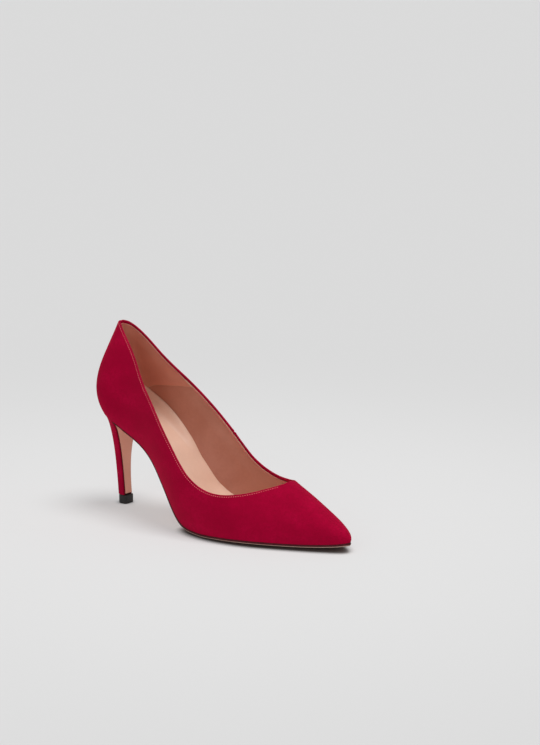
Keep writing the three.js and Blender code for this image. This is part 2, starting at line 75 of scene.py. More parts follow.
# The last, in stations from the back seam (0) to the toe (11). Each row gives four points of one rib:
# feather edge, belly, shoulder and ridge, with half widths to the outside and the inside of the foot.
STATIONS = [
    # feather x, out, in | belly x, out, in, z | shoulder x, out, in, z | ridge x, z
    (-14.5, 0, 0, -28.5, 0, 0, 104, -6.5, 0, 0, 131, 3, 156),
    (-11, 12.5, 12.5, -24, 18.5, 18.5, 103, -1, 5.5, 5.5, 131, 1, 156),
    (0, 21, 20.5, -8, 33.7, 33.7, 98, 2.5, 11, 11, 131, 14, 154),
    (18, 22, 21.5, 19, 32.5, 32.5, 88, 29, 11.5, 11.5, 130, 35, 148),
    (42, 20, 18, 43, 36, 35, 74, 50, 26, 26, 124, 58, 134),
    (66, 25, 21.5, 67, 38, 37, 51, 73, 43, 43, 101, 81, 111),
    (91, 33.5, 31, 91, 42, 41.5, 29, 97, 45.5, 45.5, 77, 104, 86),
    (119, 36.5, 37, 119, 42.5, 43, 20, 123, 38.5, 39, 60, 127, 66),
    (148, 31.5, 34.5, 148, 37, 40, 18, 151, 21, 22, 47, 153, 49.5),
    (177, 19.5, 24.5, 178, 23.5, 28.5, 16, 177, 13.5, 16, 35, 178, 36.5),
    (201, 9, 14, 202.5, 11, 16.5, 14, 200, 8, 10.5, 22, 198, 24),
    (215, 0, 0, 216.5, 0, 0, 11.5, 213, 0, 0, 16, 208, 17),
]
TOE = len(STATIONS) - 1
LOOP = 2 * TOE
# Height of the feather edge, where the sole's line lies, as (x, z).
PROFILE = [
    (-14.5, 79), (0, 72.8), (18, 65), (34, 56), (48, 44.3), (60, 30.5), (74, 15), (88, 6), (104, 3.6),
    (125, 3.9), (150, 4.4), (180, 4.7), (205, 6.2), (216, 8),
]
# Height of the foot opening's edge, from the back to the throat.
TOPLINE = [
    (-12, 144.6), (-4, 143.2), (2, 141.4), (15, 130.4), (35, 109), (55, 90.2), (75, 69.4), (95, 48),
    (105, 41), (115, 37), (125, 35.3), (135, 35.8), (145, 37.7), (155, 41), (163, 44.2), (175, 50),
]
# The middle of the foot across the shoe, as (x, y).
CENTRELINE = [(-30, 0), (120, 0), (160, 1), (190, 2), (216, 4.5)]
# How much thicker the outsole is in its middle than at its edge.
CAMBER = [(-15, 0.2), (60, 0.2), (100, 1.4), (130, 1.9), (160, 2.1), (190, 1.2), (216, 0.4)]
# How far the sock's edge cups up over its middle.
SOCK_LIFT = [(-20, 9), (15, 9), (34, 7), (47, 4.5), (57, 1.8), (68, 0.8), (220, 0.6)]


# ---- Curves and the last's surface ---------------------------------------------------------------
def along(points, x):
    """The value of a smooth curve through (x, value) points, carried on straight past its ends."""
    px, py = np.array(points, float).T
    before = np.maximum(np.arange(len(px)) - 1, 0)
    after = np.minimum(np.arange(len(px)) + 1, len(px) - 1)
    slope = (py[after] - py[before]) / (px[after] - px[before])
    x = np.asarray(x, float)
    k = np.clip(np.searchsorted(px, x, side="right") - 1, 0, len(px) - 2)
    width = px[k + 1] - px[k]
    f = (x - px[k]) / width
    m0, m1 = slope[k] * width, slope[k + 1] * width
    inside = (py[k] * (2 * f**3 - 3 * f**2 + 1) + m0 * (f**3 - 2 * f**2 + f)
              + py[k + 1] * (3 * f**2 - 2 * f**3) + m1 * (f**3 - f**2))
    low, high = py[0] + slope[0] * (x - px[0]), py[-1] + slope[-1] * (x - px[-1])
    return np.where(x < px[0], low, np.where(x > px[-1], high, inside))


def smooth(low, high, x):
    """0 below low, 1 above high and a smooth step between."""
    f = np.clip((np.asarray(x, float) - low) / (high - low), 0, 1)
    return f * f * (3 - 2 * f)


def bell(x, width):
    """1 where x is 0, falling to nothing on both sides."""
    return np.exp(-(np.asarray(x) / width) ** 2)


def unit(v):
    return v / np.maximum(np.linalg.norm(v, axis=-1, keepdims=True), 1e-12)


def bezier(p0, p1, p2, p3, v):
    """Points of cubic curves, v of the way from p0 to p3."""
    w = v[..., None]
    return (1 - w) ** 3 * p0 + 3 * w * (1 - w) ** 2 * p1 + 3 * w * w * (1 - w) * p2 + w**3 * p3


def make_rails():
    """Four closed rails, one point per station, out along the outside and back along the inside."""
    rows = [(row, -1) for row in STATIONS] + [(row, 1) for row in STATIONS[-2:0:-1]]
    rails = np.zeros((4, LOOP, 3))
    for i, (row, side) in enumerate(rows):
        feather, belly, shoulder, ridge = (*row[:3], 0), row[3:7], row[7:11], (row[11], 0, 0, row[12])
        for k, (x, out, inn, z) in enumerate([feather, belly, shoulder, ridge]):
            rails[k, i] = (x, along(CENTRELINE, x) + (-out if side < 0 else inn), z)
    return rails


RAILS = make_rails()


def on_rail(rail, t):
    """Points of a smooth closed curve through a rail's points, t stations round it."""
    t = np.mod(t, LOOP)
    i = np.floor(t).astype(int)
    f = (t - i)[..., None]
    p0, p1, p2, p3 = (rail[(i + k) % LOOP] for k in (-1, 0, 1, 2))
    return 0.5 * (2 * p1 + (p2 - p0) * f + (2 * p0 - 5 * p1 + 4 * p2 - p3) * f**2
                  + (3 * p1 - p0 - 3 * p2 + p3) * f**3)


RIDGE_SOFTNESS = 6.0    # reach of the rounding over the vamp's ridge; less where the toe is narrow


def last(t, v):
    """Points of the last: t stations round it, v from the feather edge (0) over to the ridge (1)."""
    t, v = np.broadcast_arrays(np.asarray(t, float), np.asarray(v, float))
    f, a, b, r = (on_rail(rail, t) for rail in RAILS)
    f[..., 2] = along(PROFILE, f[..., 0])
    p = bezier(f, a, b, r, v)
    # The vamp is rounded over its ridge: fully up to 2.6 stations from the toe, and not at all past 4.
    from_toe = np.abs(np.mod(t, LOOP) - TOE)
    reach = np.abs(p[..., 1] - r[..., 1])
    other = on_rail(RAILS[2], -t)
    spread = np.maximum((np.abs(r[..., 1] - b[..., 1]) + np.abs(r[..., 1] - other[..., 1])) / 2, 0.5)
    slope = (r[..., 2] - (b[..., 2] + other[..., 2]) / 2) / spread
    soft = np.minimum(RIDGE_SOFTNESS, 0.5 * spread)
    drop = slope * (np.sqrt(reach**2 + soft**2) - reach)
    p[..., 2] -= drop * (1 - smooth(2.6, 4.0, from_toe)) * smooth(0.2, 0.8, v)
    return p


def rise(t, height_of):
    """For each station, how far up its rib height_of first turns positive (1 if it never does)."""
    v = np.linspace(0, 1, 161)
    above = height_of(last(t[:, None], v[None, :])) > 0
    above[:, 0] = False
    k = above.argmax(1)
    never = k == 0
    low, high = v[np.maximum(k - 1, 0)], v[k]
    for _ in range(22):     # the place is narrowed down by halving
        middle = (low + high) / 2
        over = height_of(last(t, middle)) > 0
        low, high = np.where(over, low, middle), np.where(over, middle, high)
    return np.where(never, 1.0, high)


class TopEdge:
    """The cut of the top edge, a little below the topline: its height up each rib and its throat station."""

    def __init__(self, drop):
        self.t = np.linspace(0, LOOP, 120 * LOOP + 1)
        self.top = rise(self.t, lambda p: p[..., 2] - along(TOPLINE, p[..., 0]) + drop)
        half = self.t <= TOE
        self.throat = float(self.t[half][np.argmax(self.top[half] >= 1)])

    def __call__(self, t):
        return np.interp(np.mod(t, LOOP), self.t, self.top)


EDGE = TopEdge(0.45)            # the folded edge of the upper
LINING_EDGE = TopEdge(2.4)      # the lining's edge just inside it


# ---- Meshes --------------------------------------------------------------------------------------
def grid_faces(n, m, closed):
    """Quads between the points of a grid of n rows of m; closed joins the last row to the first."""
    i = np.arange(n if closed else n - 1)[:, None]
    j = np.arange(m - 1)[None, :]
    a, b = i * m + j, ((i + 1) % n) * m + j
    return np.stack([a, b, b + 1, a + 1], -1).reshape(-1, 4)


class Sheet:
    """A welded surface: points in millimetres, faces as index lists, and a normal at each point."""

    def __init__(self, points, closed=False):
        n, m = points.shape[:2]
        flat = points.reshape(-1, 3)
        _, first, index = np.unique(np.round(flat, 3), axis=0, return_index=True, return_inverse=True)
        index = index.reshape(-1)
        self.points = flat[first]
        self.faces = []
        for quad in index[grid_faces(n, m, closed)]:
            corners = [int(c) for k, c in enumerate(quad) if c != quad[k - 1]]
            if len(corners) > 2 and len(set(corners)) == len(corners):
                self.faces.append(corners)
        self.normals = self.vertex_normals()

    def vertex_normals(self):
        normals = np.zeros_like(self.points)
        for face in self.faces:
            p = self.points[face]
            n = np.cross(p[2] - p[0], p[-1] - p[1])
            for corner in face:
                normals[corner] += n
        return unit(normals)

    def borders(self):
        """Each open edge as a loop of point numbers, in the order that its faces run."""
        nxt = {}
        edges = {(face[k], face[(k + 1) % len(face)]) for face in self.faces for k in range(len(face))}
        for a, b in edges:
            if (b, a) not in edges:
                nxt[a] = b
        loops = []
        while nxt:
            start = next(iter(nxt))
            loop = [start]
            here = nxt.pop(start)
            while here != start:
                loop.append(here)
                here = nxt.pop(here)
            loops.append(np.array(loop))
        return loops


NEAR, FAR, EDGE_STRIP, FIRST_EDGE_STRIP = range(4)     # the parts of a thickened sheet


def solid(sheet, near, far, roll, rows):
    """A sheet thickened between two depths under it, with its open edges rolled out: its points, its faces
    and each face's part. The third of an edge that is next to the near side is its first strip."""
    p, n = sheet.points, sheet.normals
    near = np.broadcast_to(near, len(p))[:, None]
    far = np.broadcast_to(far, len(p))[:, None]
    count = len(p)
    points = [p - near * n, p - far * n]
    faces = [list(face) for face in sheet.faces]
    parts = [NEAR] * len(faces)
    faces += [[c + count for c in reversed(face)] for face in sheet.faces]
    parts += [FAR] * len(sheet.faces)
    total = 2 * count
    for loop in sheet.borders():
        q, normal = p[loop], n[loop]
        course = unit(np.roll(q, -1, 0) - np.roll(q, 1, 0))
        outwards = unit(np.cross(course, normal))
        middle = q - (near[loop] + far[loop]) / 2 * normal
        half = (far[loop] - near[loop]) / 2
        rings = [loop]
        for angle in np.linspace(0, math.pi, rows + 1)[1:-1]:
            points.append(middle + half * math.cos(angle) * normal + roll * math.sin(angle) * outwards)
            rings.append(np.arange(total, total + len(loop)))
            total += len(loop)
        rings.append(loop + count)
        for strip, (upper, lower) in enumerate(zip(rings, rings[1:])):
            for k in range(len(loop)):
                m = (k + 1) % len(loop)
                faces.append([int(upper[m]), int(upper[k]), int(lower[k]), int(lower[m])])
                parts.append(FIRST_EDGE_STRIP if strip < rows / 3 else EDGE_STRIP)
    return np.concatenate(points), faces, parts


def make_object(name, points, faces, materials, slots=None):
    """A smooth mesh object from points in the last's millimetres; slots gives each face's material."""
    mesh = bpy.data.meshes.new(name)
    mesh.from_pydata((points / 1000 + ORIGIN).tolist(), [], [list(map(int, face)) for face in faces])
    mesh.update()
    if slots is not None:
        mesh.polygons.foreach_set("material_index", np.array(slots, dtype=np.int32))
    mesh.polygons.foreach_set("use_smooth", np.full(len(mesh.polygons), True))
    for material in materials:
        mesh.materials.append(material)
    obj = bpy.data.objects.new(name, mesh)
    bpy.context.scene.collection.objects.link(obj)
    return obj


def sheet_object(name, sheet, near, far, paints, roll=None, rows=5):
    """A thickened sheet; paints are those of its near side, its far side and its cut edges."""
    if roll is None:
        roll = float(np.mean(far - near)) / 2
    points, faces, parts = solid(sheet, near, far, roll, rows)
    materials = list(dict.fromkeys(paints))
    slots = [materials.index(paints[min(part, EDGE_STRIP)]) for part in parts]
    return make_object(name, points, faces, materials, slots)


def ring_faces(rings, sides):
    """Faces of a closed form: rings of points joined one to the next, and a cap at each end."""
    faces = []
    for r in range(rings - 1):
        for k in range(sides):
            m = (k + 1) % sides
            faces.append([r * sides + k, r * sides + m, (r + 1) * sides + m, (r + 1) * sides + k])
    return faces + [list(range(sides))[::-1], [(rings - 1) * sides + k for k in range(sides)]]


def add_piece(obj, slot, *replaced):
    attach(obj, "root")
    if replaced:
        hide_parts(*replaced)


def nearest(points, curve):
    """For each point, its distance to a curve's nearest point, and that point's number."""
    best = np.full(len(points), 1e9)
    number = np.zeros(len(points), int)
    for start in range(0, len(points), 4000):
        part = points[start:start + 4000]
        d = np.linalg.norm(part[:, None] - curve[None], axis=-1)
        number[start:start + 4000] = d.argmin(1)
        best[start:start + 4000] = d.min(1)
    return best, number


# ---- Stations and rows used by the wall pieces ---------------------------------------------------
def cosine(low, high, steps):
    """Numbers from low to high, closest together at both ends."""
    return low + (high - low) * (1 - np.cos(np.linspace(0, math.pi, steps + 1))) / 2


def toe_side(low, steps):
    """Stations from the throat to the toe tip, closest together at the tip."""
    return low + (TOE - low) * np.sin(np.linspace(0, math.pi / 2, steps + 1))


# Shares of the way up the wall, closer together by the top edge.
WALL_ROWS = np.concatenate([np.linspace(0, 0.9, 42)[:-1], np.linspace(0.9, 1, 22)])


def last_normal(t, v):
    """The last's outward direction."""
    h = 1e-3
    v = np.clip(v, h, 1 - h)
    return unit(np.cross(last(t + h, v) - last(t - h, v), last(t, v + h) - last(t, v - h)))


def top_edge_curve(edge):
    """The cut edge as an open curve from throat to throat round the back, with the last's normals on it."""
    t = np.linspace(-edge.throat, edge.throat, 700)
    v = edge(t)
    v[0] = v[-1] = 1.0
    return last(t, v), last_normal(t, v)


RIM, RIM_NORMAL = top_edge_curve(EDGE)


# ---- Materials -----------------------------------------------------------------------------------
class Paint:
    """A node material around one Principled shader, in object coordinates (metres)."""

    def __init__(self, name, roughness=0.6, metallic=0.0, **sockets):
        self.material = bpy.data.materials.new(name)
        self.material.use_nodes = True
        self.tree = self.material.node_tree
        self.shader = next(node for node in self.tree.nodes if node.type == "BSDF_PRINCIPLED")
        self.shader.inputs["Roughness"].default_value = roughness
        self.shader.inputs["Metallic"].default_value = metallic
        for socket, value in sockets.items():
            self.shader.inputs[socket.replace("_", " ")].default_value = value
        self.coordinates = self.node("ShaderNodeTexCoord").outputs["Object"]

    def node(self, kind, **settings):
        node = self.tree.nodes.new(kind)
        for key, value in settings.items():
            setattr(node, key, value)
        return node

    def link(self, source, target):
        self.tree.links.new(source, target)

    def scaled(self, size_mm, stretch=(1, 1, 1)):
        """The coordinates in units of this many millimetres."""
        mapping = self.node("ShaderNodeMapping")
        mapping.inputs["Scale"].default_value = [s * 1000 / size_mm for s in stretch]
        self.link(self.coordinates, mapping.inputs["Vector"])
        return mapping.outputs["Vector"]

    def noise(self, size_mm, detail=4.0, roughness=0.55, stretch=(1, 1, 1), distortion=0.0):
        """Noise whose features are about this many millimetres across."""
        noise = self.node("ShaderNodeTexNoise")
        noise.inputs["Scale"].default_value = 1.0
        noise.inputs["Detail"].default_value = detail
        noise.inputs["Roughness"].default_value = roughness
        noise.inputs["Distortion"].default_value = distortion
        self.link(self.scaled(size_mm, stretch), noise.inputs["Vector"])
        return noise.outputs["Fac"]

    def cells(self, size_mm):
        """Distance from the middle of each of a pattern of cells."""
        cells = self.node("ShaderNodeTexVoronoi", feature="F1")
        cells.inputs["Scale"].default_value = 1.0
        self.link(self.scaled(size_mm), cells.inputs["Vector"])
        return cells.outputs["Distance"]

    def remap(self, value, low, high, out_low=0.0, out_high=1.0):
        """A smooth step from out_low, where value is low, to out_high, where it is high."""
        node = self.node("ShaderNodeMapRange", interpolation_type="SMOOTHSTEP")
        sockets = ("From Min", "From Max", "To Min", "To Max")
        for socket, number in zip(sockets, (low, high, out_low, out_high)):
            node.inputs[socket].default_value = number
        self.link(value, node.inputs["Value"])
        return node.outputs["Result"]

    def combine(self, operation, a, b):
        node = self.node("ShaderNodeMath", operation=operation)
        for value, socket in zip((a, b), node.inputs):
            if isinstance(value, (int, float)):
                socket.default_value = value
            else:
                self.link(value, socket)
        return node.outputs[0]

    def blend(self, share, a, b):
        """Colour a where share is 0 and b where it is 1; each is a colour or a node's output."""
        node = self.node("ShaderNodeMix", data_type="RGBA")
        self.link(share, node.inputs["Factor"])
        for value, name in ((a, "A"), (b, "B")):
            socket = next(s for s in node.inputs if s.name == name and s.type == "RGBA")
            if isinstance(value, tuple):
                socket.default_value = (*value, 1)
            else:
                self.link(value, socket)
        return next(s for s in node.outputs if s.type == "RGBA")

    def colour(self, value):
        self.link(value, self.shader.inputs["Base Color"])

    def roughness(self, value):
        self.link(value, self.shader.inputs["Roughness"])

    def bump(self, *layers):
        """Layers of (height output, depth in mm), stacked into one bump."""
        normal = None
        for height, depth in layers:
            bump = self.node("ShaderNodeBump")
            bump.inputs["Strength"].default_value = 1.0
            bump.inputs["Distance"].default_value = depth / 1000
            self.link(height, bump.inputs["Height"])
            if normal is not None:
                self.link(normal, bump.inputs["Normal"])
            normal = bump.outputs["Normal"]
        self.link(normal, self.shader.inputs["Normal"])


def srgb(red, green, blue):
    """A linear colour from sRGB numbers out of 255."""
    def linear(c):
        c /= 255
        return c / 12.92 if c <= 0.04045 else ((c + 0.055) / 1.055) ** 2.4
    return tuple(linear(c) for c in (red, green, blue))


def suede_paint(name, body, deep, bright):
    """Brushed suede: an even colour, a fine nap and faint tracks where the nap lies another way."""
    paint = Paint(name, roughness=0.95, Sheen_Weight=0.22, Sheen_Roughness=0.5, Specular_IOR_Level=0.06)
    paint.shader.inputs["Sheen Tint"].default_value = (*srgb(255, 40, 80), 1)
    tracks = paint.noise(12, detail=1, roughness=0.4, stretch=(0.5, 1, 1))
    nap = paint.noise(2.6, detail=5, roughness=0.8)
    fibre = paint.noise(0.3, detail=3, roughness=0.8)
    base = paint.blend(paint.remap(tracks, 0.25, 0.7, 0.35, 1.0), deep, body)
    lit = paint.blend(paint.remap(tracks, 0.5, 0.9, 0, 0.4), base, bright)
    napped = paint.blend(paint.remap(nap, 0.42, 0.6, 0.0, 0.6), lit, deep)
    paint.colour(paint.blend(paint.remap(fibre, 0.45, 0.75, 0.0, 0.35), napped, bright))
    paint.roughness(paint.remap(nap, 0.3, 0.7, 1.0, 0.9))
    paint.bump((nap, 0.08), (fibre, 0.05))
    return paint.material


def leather_paint(name, light, dark, roughness, grain_mm=0.7, coat=0.0):
    """Smooth leather: slow changes of tone, grain cells and pores."""
    paint = Paint(name, roughness=0.5, Specular_IOR_Level=0.42, Coat_Weight=coat, Coat_Roughness=0.35)
    tone = paint.noise(30, detail=2, roughness=0.5, distortion=0.3)
    mottle = paint.noise(2.4, detail=5, roughness=0.6)
    grain = paint.cells(grain_mm)
    pores = paint.noise(0.25, detail=3, roughness=0.6)
    share = paint.combine("ADD", paint.combine("MULTIPLY", tone, 0.7), paint.combine("MULTIPLY", mottle, 0.3))
    base = paint.blend(paint.remap(share, 0.25, 0.75), dark, light)
    paint.colour(paint.blend(paint.remap(grain, 0.0, 0.35, 0.2, 0.0), base, dark))
    paint.roughness(paint.remap(mottle, 0.3, 0.7, *roughness))
    paint.bump((tone, 0.12), (grain, 0.05), (pores, 0.02))
    return paint.material


def edge_paint():
    """The dark paint on the sole's edge, with streaks along it."""
    paint = Paint("dark_edge_paint", roughness=0.7, Specular_IOR_Level=0.15)
    streak = paint.noise(1.2, detail=4, roughness=0.6, stretch=(0.35, 0.35, 1.4))
    paint.colour(paint.blend(paint.remap(streak, 0.35, 0.7), srgb(66, 16, 24), srgb(92, 30, 38)))
    paint.roughness(paint.remap(streak, 0.3, 0.7, 0.6, 0.8))
    paint.bump((streak, 0.05))
    return paint.material


def moulded_paint(name, colour, shade, roughness=(0.4, 0.55), **sockets):
    """Plastic or plated metal: a faint cloudiness and a fine grain."""
    paint = Paint(name, roughness=0.5, **sockets)
    cloud = paint.noise(6, detail=3)
    grain = paint.noise(0.5, detail=4, roughness=0.6)
    paint.colour(paint.blend(paint.remap(cloud, 0.35, 0.65), shade, colour))
    paint.roughness(paint.remap(grain, 0.3, 0.7, *roughness))
    paint.bump((cloud, 0.04), (grain, 0.02))
    return paint.material


def woven_paint(name, colour, shade, pitch_mm=0.8):
    """Felted fibres with a faint criss-cross, for the stiffeners, tape, board and foam."""
    paint = Paint(name, roughness=0.9, Specular_IOR_Level=0.2)
    across = paint.noise(pitch_mm, detail=3, stretch=(0.25, 1, 1))
    down = paint.noise(pitch_mm, detail=3, stretch=(1, 0.25, 0.5))
    fibres = paint.combine("MAXIMUM", across, down)
    paint.colour(paint.blend(paint.remap(fibres, 0.4, 0.7), shade, colour))
    paint.bump((fibres, 0.08))
    return paint.material


def thread_paint(name, colour, shade):
    """Twisted thread: slanting stripes along it and a soft sheen."""
    paint = Paint(name, roughness=0.6, Sheen_Weight=0.3, Sheen_Roughness=0.4)
    twist = paint.noise(0.3, detail=2, stretch=(1, 1, 0.4))
    paint.colour(paint.blend(paint.remap(twist, 0.35, 0.65), shade, colour))
    paint.bump((twist, 0.05))
    return paint.material


SUEDE_PAINT = suede_paint("suede", srgb(168, 2, 50), srgb(148, 0, 41), srgb(184, 8, 61))
# The suede's cut edges are painted lighter and pinker than its face: a painted highlight, the light that the
# rolled rim catches.
SUEDE_EDGE_HIGHLIGHT = suede_paint("suede_edge_painted_highlight", srgb(176, 22, 58), srgb(142, 8, 42), srgb(198, 40, 76))
# The two linings are darker and redder than the sock's leather: partly their own colour, partly painted shade
# for the dim, red-lit inside of the shoe.
LINING_PAINT = leather_paint("lining_leather", srgb(196, 133, 112), srgb(180, 115, 93), (0.46, 0.6))
QUARTER_PAINT = leather_paint("quarter_lining_leather", srgb(215, 143, 120), srgb(199, 124, 101), (0.5, 0.66))
SOCK_PAINT = leather_paint("sock_leather", srgb(238, 198, 175), srgb(228, 184, 160), (0.42, 0.56), coat=0.06)
CUT_EDGE = leather_paint("cut_leather_edge", srgb(216, 176, 148), srgb(180, 136, 108), (0.42, 0.58),
                         grain_mm=0.4)
SOLE_PAINT = leather_paint("sole_leather", srgb(228, 166, 142), srgb(212, 146, 122), (0.34, 0.5),
                           grain_mm=1.1, coat=0.12)
EDGE_PAINT = edge_paint()
# The lower strip of the sole's edge towards the toe is pale: partly the natural leather of its bevel, partly
# a painted highlight where that bevel catches the light.
BEVEL_HIGHLIGHT_PAINT = leather_paint("bevel_leather_painted_highlight", srgb(186, 158, 142), srgb(150, 120, 106), (0.42, 0.58),
                            grain_mm=0.4)
RUBBER_PAINT = moulded_paint("black_polyurethane", srgb(30, 26, 27), srgb(18, 15, 16),
                             Specular_IOR_Level=0.45)
ABS_PAINT = moulded_paint("moulded_abs", srgb(214, 204, 186), srgb(196, 184, 164))
STEEL_PAINT = moulded_paint("zinc_plated_steel", srgb(190, 192, 196), srgb(150, 152, 156), (0.25, 0.42),
                            metallic=1.0)
BOARD_PAINT = woven_paint("fibre_board", srgb(186, 158, 122), srgb(150, 122, 90))
STIFFENER_PAINT = woven_paint("stiffener", srgb(232, 224, 208), srgb(206, 196, 178))
FOAM_PAINT = woven_paint("foam", srgb(238, 230, 212), srgb(216, 206, 184), pitch_mm=0.5)
THREAD_PAINT = thread_paint("red_thread", srgb(246, 112, 120), srgb(206, 62, 78))


# ---- Upper ---------------------------------------------------------------------------------------
SPINE_BACK, SPINE_FRONT = 2, 188      # the margin shrinks towards this stretch of the centreline
MARGIN = (9, 6, 3, 1.2, 0.5)          # the lasting margin turned under: distances in from the feather edge
FEATHER_ROWS = (0.004, 0.009, 0.015)  # shares of the wall close over the feather edge, where it turns
SEAM_LOW, SEAM_LEAN = 5.15, 0.3       # stations of the side seam at the sole, and its lean up to the top edge
SEAM_VALLEY = (0.5, 0.42)             # depth and half width of the seam
SEAM_LIPS = (0.22, 0.9, 1.5)          # height, half width and distance from it of the lips on both sides
STITCH_DENT, FOLD_DENT = 0.16, 0.1    # how far the surface sinks at the stitches and at the folded edge
DENT_WIDTH = 0.5


def inward(t, distance, share=0.9):
    """A point of the feather edge moved inwards under the foot, by no more than a share of the way."""
    edge = last(t, 0.0)
    x = np.clip(edge[..., 0], SPINE_BACK, SPINE_FRONT)
    spine = np.stack([x, along(CENTRELINE, x), 0 * x], -1)
    flat = edge * (1, 1, 0)
    reach = np.linalg.norm(flat - spine, axis=-1)
    moved = flat + (spine - flat) * (np.minimum(distance, share * reach) / reach)[..., None]
    moved[..., 2] = along(PROFILE, moved[..., 0])
    return moved


def seam_relief(t, rows):
    """Depth of the side seam on the inside of the foot: a sharp valley between two soft lips."""
    step, side = 0.01, 0.3
    pace = np.linalg.norm(last(t + step, side) - last(t, side), axis=-1) / step    # millimetres per station
    d = ((LOOP - t) - (SEAM_LOW + SEAM_LEAN * rows)) * pace
    depth, valley_width = SEAM_VALLEY
    height, lip_width, lip_place = SEAM_LIPS
    return depth * bell(d, valley_width) - height * bell(np.abs(d) - lip_place, lip_width)


def make_upper():
    outside = np.concatenate([cosine(0, EDGE.throat, 120), toe_side(EDGE.throat, 44)[1:]])
    seam = np.linspace(SEAM_LOW - 0.12, SEAM_LOW + SEAM_LEAN + 0.12, 76)
    inside = np.unique(np.concatenate([outside[(outside < seam[0]) | (outside > seam[-1])], seam]))
    t = np.concatenate([outside, LOOP - inside[1:-1][::-1]])
    rows = np.unique(np.concatenate([WALL_ROWS, FEATHER_ROWS]))
    columns, f = np.meshgrid(t, rows, indexing="ij")
    v = f * EDGE(columns)
    wall = last(columns, v)
    to_edge = nearest(wall.reshape(-1, 3), RIM)[0].reshape(f.shape)
    relief = seam_relief(columns, f)
    relief += STITCH_DENT * bell(to_edge - STITCH_INSET, DENT_WIDTH) + FOLD_DENT * bell(to_edge, DENT_WIDTH)
    wall = wall - relief[..., None] * last_normal(columns, v)
    under = [inward(t, d, 0.5 * d / MARGIN[0]) for d in MARGIN]
    points = np.concatenate([np.stack(under, 1), wall], 1)
    upper = sheet_object("suede_upper", Sheet(points, closed=True), 0, SUEDE,
                         (SUEDE_PAINT, SUEDE_PAINT, SUEDE_EDGE_HIGHLIGHT), rows=8)
    add_piece(upper, "suede", "upper")


STITCH_RINGS, STITCH_SIDES = 7, 8
STITCH_SINK = 0.1          # a stitch row's holes under the surface


def stitch(start, end, out):
    """Rings of points of one sewn stitch: a short fat thread that dives in at both ends."""
    side = np.cross(unit(end - start), out)
    points = []
    for s in np.linspace(-1, 1, STITCH_RINGS):
        radius = STITCH_RADIUS * math.sqrt(max(1 - s**4, 0.05))
        centre = (start + end) / 2 + (end - start) / 2 * s + out * STITCH_LIFT * (1 - 1.8 * s * s)
        for k in range(STITCH_SIDES):
            a = 2 * math.pi * k / STITCH_SIDES
            points.append(centre + radius * (math.cos(a) * side + 0.8 * math.sin(a) * out))
    return points


def stitch_row(name, curve, out):
    """Stitches at an even pitch along a curve, with the surface's outward direction at each of its points."""
    step = np.linalg.norm(np.diff(curve, axis=0), axis=1)
    length = np.concatenate([[0], np.cumsum(step)])
    count = int(length[-1] / STITCH_PITCH)
    one_stitch = ring_faces(STITCH_RINGS, STITCH_SIDES)
    points, faces = [], []
    for i in range(count):
        middle = (i + 0.5) * length[-1] / count
        start, end = (np.array([np.interp(middle + d, length, curve[:, k]) for k in range(3)])
                      for d in (-STITCH_LENGTH / 2, STITCH_LENGTH / 2))
        away = unit(np.array([np.interp(middle, length, out[:, k]) for k in range(3)]))
        faces += [[corner + len(points) for corner in face] for face in one_stitch]
        points += stitch(start, end, away)
    add_piece(make_object(name, np.array(points), faces, [THREAD_PAINT]), "suede")


def make_stitching():
    up = unit(np.cross(RIM_NORMAL, np.gradient(RIM, axis=0)))    # in the surface, out of the opening
    keep = slice(4, -4)
    outer = RIM - STITCH_INSET * up - STITCH_SINK * RIM_NORMAL
    stitch_row("topline_stitching", outer[keep], RIM_NORMAL[keep])
    inner = RIM - INNER_STITCH_INSET * up - (SUEDE + LINING + STITCH_SINK) * RIM_NORMAL
    stitch_row("lining_stitching", inner[keep], -RIM_NORMAL[keep])


# ---- Linings and stiffening tape -----------------------------------------------------------------
LINING_FOOT = 4.3          # height over the feather edge where the lining starts, under the sock's edge
LINING_SEAM = (1.8, 2.25)  # station of the seam between the linings at the foot, and its lean up to the edge
LINING_LAP = 0.66          # depth that the quarter lining gains where it laps over the vamp lining
LAP_STATIONS = 0.25        # how far the vamp lining runs on under it


def lining_depth(points):
    """How deep the lining lies: tight to the upper at the edge, then behind the stiffeners."""
    return SUEDE + GLUE_GAP + STIFFENER_SPACE * smooth(1.5, 13, nearest(points, RIM)[0])


def lining_grid(columns, rows):
    """Points of the last at stations (a grid) and shares of the way from the lining's foot to its edge."""
    stations = np.linspace(0, LOOP, 40 * LOOP + 1)
    foot = rise(stations, lambda p: p[..., 2] - along(PROFILE, p[..., 0]) - LINING_FOOT)
    foot = np.interp(np.mod(columns, LOOP), stations, foot)
    return last(columns, foot + rows * (LINING_EDGE(columns) - foot))


def make_quarter_lining():
    share, f = np.meshgrid(np.linspace(-1, 1, 121), np.linspace(0, 1, 48), indexing="ij")
    share = np.sin(share * math.pi / 2) * 0.35 + share * 0.65
    points = lining_grid(share * (LINING_SEAM[0] + LINING_SEAM[1] * f), f)
    sheet = Sheet(points)
    front_edges = np.concatenate([points[0], points[-1]])
    lap = 1 - smooth(3, 9, nearest(sheet.points, front_edges)[0])
    near = lining_depth(sheet.points) + LINING_LAP * lap
    lining = sheet_object("quarter_lining_leather", sheet, near, near + LINING,
                          (QUARTER_PAINT, QUARTER_PAINT, CUT_EDGE))
    add_piece(lining, "lining", "quarter_lining")


